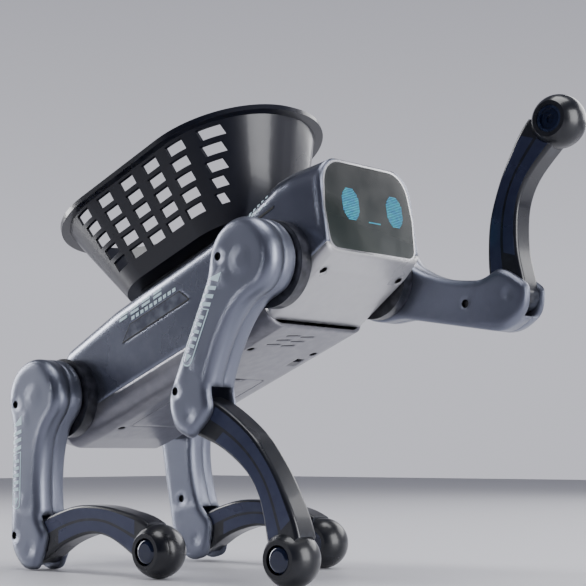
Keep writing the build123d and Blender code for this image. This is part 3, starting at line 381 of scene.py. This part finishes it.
def finish_material(name, groups):
    """A finish: grain, then rubbed edges, then dust, into one Principled shader."""
    if name in FINISHES:
        source, metal, rough, coat, scale, bump, edge, wear, dust = FINISHES[name]
        base = tuple(getattr(bpy.context.scene.robot_dog_finishes, source))
    else:
        base, metal, rough, coat, scale, bump, edge, wear, dust = FIXED_COLOURS[name]
    material = bpy.data.materials.new("dog_" + name)
    material.use_nodes = True
    tree = material.node_tree
    shader = tree.nodes["Principled BSDF"]
    shader.inputs["Metallic"].default_value = metal
    shader.inputs["Coat Weight"].default_value = coat
    shader.inputs["Coat Roughness"].default_value = 0.08
    placed = {}
    for label in ("grain", "wear", "dust"):
        node = tree.nodes.new("ShaderNodeGroup")
        node.node_tree = groups[label]
        placed[label] = node
    placed["grain"].inputs["Color"].default_value = (*base, 1)
    placed["grain"].inputs["Scale"].default_value = scale
    placed["grain"].inputs["Colour Change"].default_value = 0.02
    placed["grain"].inputs["Low Roughness"].default_value = rough[0]
    placed["grain"].inputs["High Roughness"].default_value = rough[1]
    placed["wear"].inputs["Edge Color"].default_value = (*edge, 1)
    placed["wear"].inputs["Amount"].default_value = wear
    placed["dust"].inputs["Amount"].default_value = dust
    links = tree.links
    links.new(placed["grain"].outputs["Color"], placed["wear"].inputs["Color"])
    links.new(placed["wear"].outputs["Color"], placed["dust"].inputs["Color"])
    links.new(placed["dust"].outputs["Color"], shader.inputs["Base Color"])
    links.new(placed["grain"].outputs["Roughness"], shader.inputs["Roughness"])
    relief = tree.nodes.new("ShaderNodeBump")
    relief.inputs["Distance"].default_value = bump
    relief.inputs["Strength"].default_value = 0.5
    links.new(placed["grain"].outputs["Height"], relief.inputs["Height"])
    if name in SOFT_EDGES:
        soft = tree.nodes.new("ShaderNodeBevel")
        soft.samples = 8
        soft.inputs["Radius"].default_value = SOFT_EDGES[name]
        links.new(soft.outputs["Normal"], relief.inputs["Normal"])
    links.new(relief.outputs["Normal"], shader.inputs["Normal"])
    return material


def screen_material():
    """Smoked glossy screen, a little lighter towards its foot, with faint wipe marks."""
    material = bpy.data.materials.new("dog_screen")
    material.use_nodes = True
    tree = material.node_tree
    shader = tree.nodes["Principled BSDF"]
    shader.inputs["Coat Weight"].default_value = 0.5
    shader.inputs["Coat Roughness"].default_value = 0.04
    shader.inputs["Specular IOR Level"].default_value = 0.3
    base = bpy.context.scene.robot_dog_finishes.screen
    place = tree.nodes.new("ShaderNodeTexCoord")
    split = tree.nodes.new("ShaderNodeSeparateXYZ")
    tree.links.new(place.outputs["Object"], split.inputs[0])
    top = face_spot(0, 0).z
    foot = face_spot(0, -50).z
    ramp = tree.nodes.new("ShaderNodeMix")
    ramp.data_type = "RGBA"
    ramp.inputs[6].default_value = (*base, 1)
    ramp.inputs[7].default_value = (base[0] * 2.6, base[1] * 2.7, base[2] * 2.6, 1)
    tree.links.new(remap(tree, split.outputs["Z"], top, foot), ramp.inputs["Factor"])
    tree.links.new(ramp.outputs[2], shader.inputs["Base Color"])
    smears = noise(tree, 60.0, 5.0)
    tree.links.new(
        remap(tree, smears.outputs["Fac"], 0.35, 0.7, 0.1, 0.22), shader.inputs["Roughness"]
    )
    return material


def lamp_material():
    """Lit lamp dots whose brightness differs a little from dot to dot."""
    material = bpy.data.materials.new("dog_lamps")
    material.use_nodes = True
    tree = material.node_tree
    shader = tree.nodes["Principled BSDF"]
    tone = bpy.context.scene.robot_dog_finishes.lamps
    shader.inputs["Emission Strength"].default_value = 1.6
    mixed = tree.nodes.new("ShaderNodeMix")
    mixed.data_type = "RGBA"
    mixed.inputs[6].default_value = (*tone, 1)
    mixed.inputs[7].default_value = (0.0, 0.36, 0.48, 1)
    tree.links.new(
        remap(tree, noise(tree, 420.0, 1.0).outputs["Fac"], 0.35, 0.65), mixed.inputs["Factor"]
    )
    shader.inputs["Base Color"].default_value = (0.0, 0.05, 0.08, 1)
    tree.links.new(mixed.outputs[2], shader.inputs["Emission Color"])
    return material


MATERIALS = {}

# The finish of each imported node, by the end of its name.
NODE_FINISHES = {
    "thigh_outer": "limb", "thigh_inner": "limb", "thigh_screws": "screw", "hip_shaft": "steel",
    "knee_servo": "servo", "knee_pin": "steel", "shin": "shin", "shin_inlays": "inlay",
    "foot_ball": "tyre", "foot_caps": "cap", "back_casing": "shell", "belly_casing": "belly",
    "head_casing": "shell", "chin_casing": "chin", "screen_lens": "screen", "eye_lamps": "lamps",
    "display_board": "board", "main_board": "board", "battery_pack": "battery",
    "battery_door": "belly", "speaker": "black", "power_switch": "black", "charge_port": "black",
    "side_accents": "accent", "hip_servos": "servo", "hip_drums": "black", "body_screws": "screw",
    "basket": "basket", "basket_saddle": "black",
}


def finish_of(node):
    """The finish whose key ends the node's name, the longest one that does."""
    keys = [key for key in NODE_FINISHES if node == key or node.endswith("_" + key)]
    return NODE_FINISHES[max(keys, key=len)]


# ---- Mesh helpers ----
def new_piece(name, bm, finish, body):
    """Turn a bmesh into a piece that rides on a body."""
    mesh = bpy.data.meshes.new(name)
    bmesh.ops.recalc_face_normals(bm, faces=bm.faces)
    bm.to_mesh(mesh)
    bm.free()
    piece = bpy.data.objects.new(name, mesh)
    bpy.context.scene.collection.objects.link(piece)
    mesh.materials.append(MATERIALS[finish])
    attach(piece, body)
    return piece


def plate(bm, corners, out, height):
    """A thin raised plate over a flat outline."""
    low = [bm.verts.new(corner) for corner in corners]
    high = [bm.verts.new(corner + out * height) for corner in corners]
    bm.faces.new(low[::-1])
    bm.faces.new(high)
    count = len(corners)
    for i in range(count):
        j = (i + 1) % count
        bm.faces.new((low[i], low[j], high[j], high[i]))


def ribbon(bm, inner, outer, out, height):
    """A raised closed band between two outlines with the same number of points."""
    rings = [[bm.verts.new(p + out * h) for p in line] for h in (0, height) for line in (inner, outer)]
    count = len(inner)
    for i in range(count):
        j = (i + 1) % count
        for a, b in ((0, 1), (1, 3), (3, 2), (2, 0)):
            bm.faces.new((rings[a][i], rings[a][j], rings[b][j], rings[b][i]))


# ---- Operators ----
class ROBOTDOG_OT_stage(bpy.types.Operator):
    """Make the floor, the soft studio light and the camera"""

    bl_idname = "robotdog.stage"
    bl_label = "Stage"

    def execute(self, context):
        scene = context.scene
        half = scene.robot_dog_sizes.floor_size / 2
        bm = bmesh.new()
        square = ((-half, -half), (half, -half), (half, half), (-half, half))
        corners = [bm.verts.new((x, y, 0)) for x, y in square]
        bm.faces.new(corners)
        mesh = bpy.data.meshes.new("floor")
        bm.to_mesh(mesh)
        bm.free()
        floor = bpy.data.objects.new("floor", mesh)
        scene.collection.objects.link(floor)
        pale = bpy.data.materials.new("floor_pale")
        pale.use_nodes = True
        shader = pale.node_tree.nodes["Principled BSDF"]
        shader.inputs["Base Color"].default_value = (0.62, 0.62, 0.66, 1)
        shader.inputs["Roughness"].default_value = 0.4
        mesh.materials.append(pale)

        world = bpy.data.worlds.new("studio")
        scene.world = world
        world.use_nodes = True
        tree = world.node_tree
        place = tree.nodes.new("ShaderNodeTexCoord")
        split = tree.nodes.new("ShaderNodeSeparateXYZ")
        tree.links.new(place.outputs["Generated"], split.inputs[0])
        behind = remap(tree, split.outputs["Y"], -0.55, 0.45)
        low = remap(tree, split.outputs["Z"], 0.65, 0.12)
        lit = tree.nodes.new("ShaderNodeMath")
        lit.operation = "MULTIPLY"
        tree.links.new(behind, lit.inputs[0])
        tree.links.new(low, lit.inputs[1])
        sky = tree.nodes.new("ShaderNodeMix")
        sky.data_type = "RGBA"
        sky.inputs[6].default_value = (0.10, 0.105, 0.145, 1)
        sky.inputs[7].default_value = (0.86, 0.86, 0.95, 1)
        tree.links.new(lit.outputs[0], sky.inputs["Factor"])
        tree.links.new(sky.outputs[2], tree.nodes["Background"].inputs["Color"])
        tree.nodes["Background"].inputs["Strength"].default_value = 0.8
        for name, place, size, power in (
            ("rear_strip", (-1.5, -0.4, 0.5), (0.45, 1.2), 24),
            ("face_fill", (1.5, 0.2, 0.5), (0.9, 1.2), 26),
            ("top", (0.1, 0.0, 1.6), (1.2, 0.9), 20),
            ("back", (0.2, 1.4, 0.8), (1.4, 0.7), 12),
        ):
            light = bpy.data.lights.new(name, "AREA")
            light.shape = "RECTANGLE"
            light.size, light.size_y = size
            light.energy = power
            lamp = bpy.data.objects.new(name, light)
            lamp.location = place
            aim = Vector((0, 0, 0.13)) - Vector(place)
            lamp.rotation_euler = aim.to_track_quat("-Z", "Y").to_euler()
            scene.collection.objects.link(lamp)

        lens = bpy.data.cameras.new("camera")
        lens.lens = 92.15
        lens.sensor_width = 36
        camera = bpy.data.objects.new("camera", lens)
        shift = (joint_place("rear_right_hip")[0] + 98.0) * MM
        camera.location = (0.608 + shift, -0.643, 0.0679)
        camera.rotation_euler = (math.radians(96.16), 0, math.radians(41.17))
        scene.collection.objects.link(camera)
        scene.camera = camera
        return {"FINISHED"}


class ROBOTDOG_OT_finishes(bpy.types.Operator):
    """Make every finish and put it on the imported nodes"""

    bl_idname = "robotdog.finishes"
    bl_label = "Finishes"

    def execute(self, context):
        groups = {"grain": grain_group(), "wear": wear_group(), "dust": dust_group()}
        for name in list(FINISHES) + list(FIXED_COLOURS):
            MATERIALS[name] = finish_material(name, groups)
        MATERIALS["screen"] = screen_material()
        MATERIALS["lamps"] = lamp_material()
        for node, piece in frame["nodes"].items():
            piece.data.materials.clear()
            piece.data.materials.append(MATERIALS[finish_of(node)])
        return {"FINISHED"}


class ROBOTDOG_OT_eyes(bpy.types.Operator):
    """Lay the dot-matrix eyes and mouth on the screen"""

    bl_idname = "robotdog.eyes"
    bl_label = "Eyes"

    def execute(self, context):
        sizes = context.scene.robot_dog_sizes
        pitch = sizes.lamp_pitch / MM
        out = face_out()
        bm = bmesh.new()

        def dot(x, y):
            ring = []
            radius = sizes.lamp_radius / MM
            for k in range(8):
                a = k * math.tau / 8
                ring.append(face_spot(x + radius * math.cos(a), y + radius * math.sin(a)))
            plate(bm, ring, out, sizes.print_height)

        for centre, half in ((EYES[0], EYE_HALF), (EYES[1], EYE_HALF), (MOUTH_PLACE, MOUTH_HALF)):
            across = int(half[0] / pitch) + 1
            up = int(half[1] / pitch) + 1
            for i in range(-across, across + 1):
                for j in range(-up, up + 1):
                    x, y = i * pitch, j * pitch
                    if (x / half[0]) ** 2 + (y / half[1]) ** 2 <= 1:
                        dot(centre[0] + x, centre[1] + y)
        piece = new_piece("eye_dots", bm, "lamps", "body")
        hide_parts("eye_lamps")
        return {"FINISHED"}


def face_outline(grow, steps):
    """The screen's outline grown by an amount, as points in metres."""
    points = []
    count = len(SCREEN_CORNERS)
    for i, (x, y, radius) in enumerate(SCREEN_CORNERS):
        here = Vector((x, y))
        before = (Vector(SCREEN_CORNERS[i - 1][:2]) - here).normalized()
        after = (Vector(SCREEN_CORNERS[(i + 1) % count][:2]) - here).normalized()
        if not radius:
            push = Vector((math.copysign(grow, x), 0))
            points.append(face_spot(*(here + push)))
            continue
        half = before.angle(after) / 2
        centre = here + (before + after).normalized() * radius / math.sin(half)
        start = here + before * radius / math.tan(half) - centre
        end = here + after * radius / math.tan(half) - centre
        turn = start.angle_signed(end)
        for k in range(steps + 1):
            a = -turn * k / steps
            spoke = Vector((
                start.x * math.cos(a) - start.y * math.sin(a),
                start.x * math.sin(a) + start.y * math.cos(a),
            ))
            points.append(face_spot(*(centre + spoke * (radius + grow) / radius)))
    return points


class ROBOTDOG_OT_bezel(bpy.types.Operator):
    """Run a bright edge round the screen"""

    bl_idname = "robotdog.bezel"
    bl_label = "Screen edge"

    def execute(self, context):
        sizes = context.scene.robot_dog_sizes
        out = face_out()
        bm = bmesh.new()
        inner = face_outline(0.0, sizes.bezel_steps)
        outer = face_outline(sizes.bezel_width / MM, sizes.bezel_steps)
        ribbon(bm, inner, outer, out, sizes.print_height)
        new_piece("screen_edge", bm, "bezel", "body")
        return {"FINISHED"}


def thigh_surface(x):
    """How far the thigh's outer face stands out at x, following its rounded back edge."""
    over = max(0.0, THIGH_FLAT_BACK - x)
    return HALF_THIGH - THIGH_ROUNDING + math.sqrt(THIGH_ROUNDING ** 2 - over ** 2)


def thigh_marks(leg, height):
    """A wedge, three bars, and short bars in a long ring, printed down the thigh's back edge."""
    side = LEG_ANGLES[leg][0]
    out = Vector((0, side, 0))
    bm = bmesh.new()

    def outline(points):
        return [thigh_spot(leg, x, down, thigh_surface(x)) for x, down in points]

    def pill(grow):
        middle, half, top, foot = -14.2, 3.9 + grow, 34.0, 62.5
        points = []
        for k in range(17):
            a = math.pi * k / 16
            points.append((middle - half * math.cos(a), foot + half * math.sin(a)))
        for k in range(9):
            share = k / 8
            points.append((middle + half - 2 * half * share, top - grow - 2.0 * (1 - share)))
        return outline(points)

    def band(near_low, near_high, far_low, far_high):
        """A print across the rounded back edge, in strips that follow it."""
        for x0, x1 in zip(BAND_STEPS, BAND_STEPS[1:]):
            corners = []
            for x, first, last in ((x0, near_low, far_low), (x1, near_low, far_low),
                                   (x1, near_high, far_high), (x0, near_high, far_high)):
                share = (BAND_STEPS[0] - x) / (BAND_STEPS[0] - BAND_STEPS[-1])
                corners.append((x, first + (last - first) * share))
            plate(bm, outline(corners), out, height)

    band(10.6, 16.2, 17.4, 17.7)
    for k in range(3):
        top = 18.8 + 4.7 * k
        band(top, top + 2.3, top + 2.4, top + 4.7)
    ribbon(bm, pill(-0.7), pill(0.0), out, height)
    for k in range(5):
        top = 36.6 + 4.2 * k
        bar = [(-16.3, top + 0.7), (-12.1, top), (-12.1, top + 2.0), (-16.3, top + 2.7)]
        plate(bm, outline(bar), out, height)
    plate(bm, outline([(-16.3, 59.6), (-12.1, 59.6), (-14.2, 64.2)]), out, height)
    return new_piece(leg + "_thigh_marks", bm, "marks", leg + "_thigh")


def side_surface(x, z):
    """How far the body's side stands out at x and z, following its rounded shoulder."""
    high, rounding = BACK_TOPS[0][1:]
    for (x0, z0, r0), (x1, z1, r1) in zip(BACK_TOPS, BACK_TOPS[1:]):
        if x >= x0:
            share = (min(x, x1) - x0) / (x1 - x0)
            high = z0 + (z1 - z0) * share
            rounding = r0 + (r1 - r0) * share
    over = max(0.0, z - (high - rounding))
    return HALF_WIDTH - rounding + math.sqrt(rounding ** 2 - over ** 2)


def side_plates(outlines, side, height):
    """Thin plates over outlines on the body's side wall, given in the body's own x and z."""
    bm = bmesh.new()
    for points in outlines:
        corners = [body_spot(x, side * (side_surface(x, z) - PRINT_SINK), z) for x, z in points]
        plate(bm, corners, Vector((0, side, 0)), height)
    return bm


def slanted(x, z, width, height, lean):
    """A slanted bar's four corners."""
    return [(x, z), (x + width, z), (x + width + lean, z + height), (x + lean, z + height)]


class ROBOTDOG_OT_marks(bpy.types.Operator):
    """Print plain bars on the thighs and the body's and head's sides"""

    bl_idname = "robotdog.marks"
    bl_label = "Printed marks"

    def execute(self, context):
        height = context.scene.robot_dog_sizes.print_height
        for leg in LEG_ANGLES:
            thigh_marks(leg, height)
        # Rising bars on the head, two rows of long bars and one of short bars on the body.
        bars = [slanted(76.0 + 3.5 * k, 33.4 + 0.25 * k, 1.9, 3.4 + 0.45 * k, 1.4) for k in range(6)]
        for row in range(2):
            lean = 0.7 * row
            bars += [slanted(-35.0 + lean + 10.4 * k, 25.2 + 2.4 * row, 7.2, 1.4, 0.4) for k in range(4)]
        bars += [slanted(-25.0 + 4.1 * k, 21.9, 2.7, 2.0, 0.6) for k in range(10)]
        for side, name in ((-1, "right"), (1, "left")):
            bm = side_plates(bars, side, 3 * height)
            new_piece(name + "_side_marks", bm, "marks", "body")
            bm = side_plates([HEAD_SLOT], side, 3 * height)
            new_piece(name + "_side_slot", bm, "well", "body")
            bm = bmesh.new()
            edge = [
                [body_spot(x, side * HALF_WIDTH, z) for x, z in line]
                for line in (ACCENT_EDGE, ACCENT_RIM)
            ]
            ribbon(bm, *edge, Vector((0, side, 0)), 2 * height)
            new_piece(name + "_accent_edge", bm, "well", "body")
        return {"FINISHED"}


class ROBOTDOG_OT_wells(bpy.types.Operator):
    """Line every screw well and speaker vent in black, as painted shade"""

    bl_idname = "robotdog.wells"
    bl_label = "Screw wells"

    def execute(self, context):
        for leg, (side, _) in LEG_ANGLES.items():
            bm = bmesh.new()
            for x, down, outward in THIGH_WELLS:
                mouth = thigh_spot(leg, x, down, outward * HALF_THIGH)
                self.liner(bm, mouth, Vector((0, side * outward, 0)))
            # Black linings of painted shade inside the thigh's screw wells.
            new_piece(leg + "_well_liners", bm, "well", leg + "_thigh")
        bm = bmesh.new()
        down = body_down()
        for x in BELLY_WELL_X:
            for y in (-BELLY_WELL_Y, BELLY_WELL_Y):
                self.liner(bm, body_spot(x, y, BODY_BOTTOM), down)
        rise = PITCH + math.atan(CHIN_RISE)
        square_to_chin = Vector((math.sin(rise), 0, -math.cos(rise)))
        ahead, aside, up = CHIN_WELL
        for y in (-aside, aside):
            self.liner(bm, body_spot(ahead, y, up), square_to_chin)
        # Black strips of painted shade in the speaker's vent slots.
        self.vent_shade(bm, down)
        # Painted shade in the belly's and chin's screw wells and in the vent slots.
        new_piece("body_well_liners", bm, "well", "body")
        return {"FINISHED"}

    def vent_shade(self, bm, out):
        """Black strips of painted shade inside the speaker's slots."""
        along = Vector((math.cos(VENT_TURN), math.sin(VENT_TURN))) * VENT_HALF[0]
        across = Vector((-math.sin(VENT_TURN), math.cos(VENT_TURN))) * VENT_HALF[1]
        for row in range(3):
            for column in range(2):
                x = VENT_START[0] + VENT_ROW_STEP[0] * row
                y = VENT_START[1] + VENT_COLUMN_STEP * column + VENT_ROW_STEP[1] * row
                middle = Vector((x, y))
                corners = [middle + along + across, middle + along - across]
                corners += [middle - along - across, middle - along + across]
                level = BODY_BOTTOM + VENT_SHADE_INSIDE
                plate(bm, [body_spot(c.x, c.y, level) for c in corners], out, 0.3 * MM)

    def liner(self, bm, mouth, out):
        """A thin black tube of painted shade inside one well, from just above its floor to just below
        its mouth.
        """
        across = out.orthogonal().normalized()
        along = out.cross(across)
        rings = []
        for radius in (WELL_RADIUS - 0.35, WELL_RADIUS - 0.05):
            ring = []
            for k in range(28):
                a = k * math.tau / 28
                spoke = across * math.cos(a) + along * math.sin(a)
                ring.append(mouth + (spoke * radius - out * (WELL_DEPTH - 0.1)) * MM)
            rings.append(ring)
        ribbon(bm, rings[0], rings[1], out, (WELL_DEPTH - 0.4) * MM)


OPERATORS = (
    ROBOTDOG_OT_stage,
    ROBOTDOG_OT_finishes,
    ROBOTDOG_OT_eyes,
    ROBOTDOG_OT_bezel,
    ROBOTDOG_OT_marks,
    ROBOTDOG_OT_wells,
)


class ROBOTDOG_PT_panel(bpy.types.Panel):
    """Lists the steps and the settings"""

    bl_idname = "ROBOTDOG_PT_panel"
    bl_label = "Robot Dog"
    bl_space_type = "VIEW_3D"
    bl_region_type = "UI"
    bl_category = "Robot Dog"

    def draw(self, context):
        layout = self.layout
        for operator in OPERATORS:
            layout.operator(operator.bl_idname)
        for settings in (context.scene.robot_dog_sizes, context.scene.robot_dog_finishes):
            for name in settings.__annotations__:
                layout.prop(settings, name)


CLASSES = (RobotDogSizes, RobotDogFinishes, *OPERATORS, ROBOTDOG_PT_panel)


def register():
    for cls in CLASSES:
        bpy.utils.register_class(cls)
    bpy.types.Scene.robot_dog_sizes = PointerProperty(type=RobotDogSizes)
    bpy.types.Scene.robot_dog_finishes = PointerProperty(type=RobotDogFinishes)


def unregister():
    del bpy.types.Scene.robot_dog_finishes
    del bpy.types.Scene.robot_dog_sizes
    for cls in reversed(CLASSES):
        bpy.utils.unregister_class(cls)


def main():
    """Build the whole toy."""
    register()
    for operator in OPERATORS:
        group, name = operator.bl_idname.split(".")
        getattr(getattr(bpy.ops, group), name)()


if __name__ == "__main__":
    main()
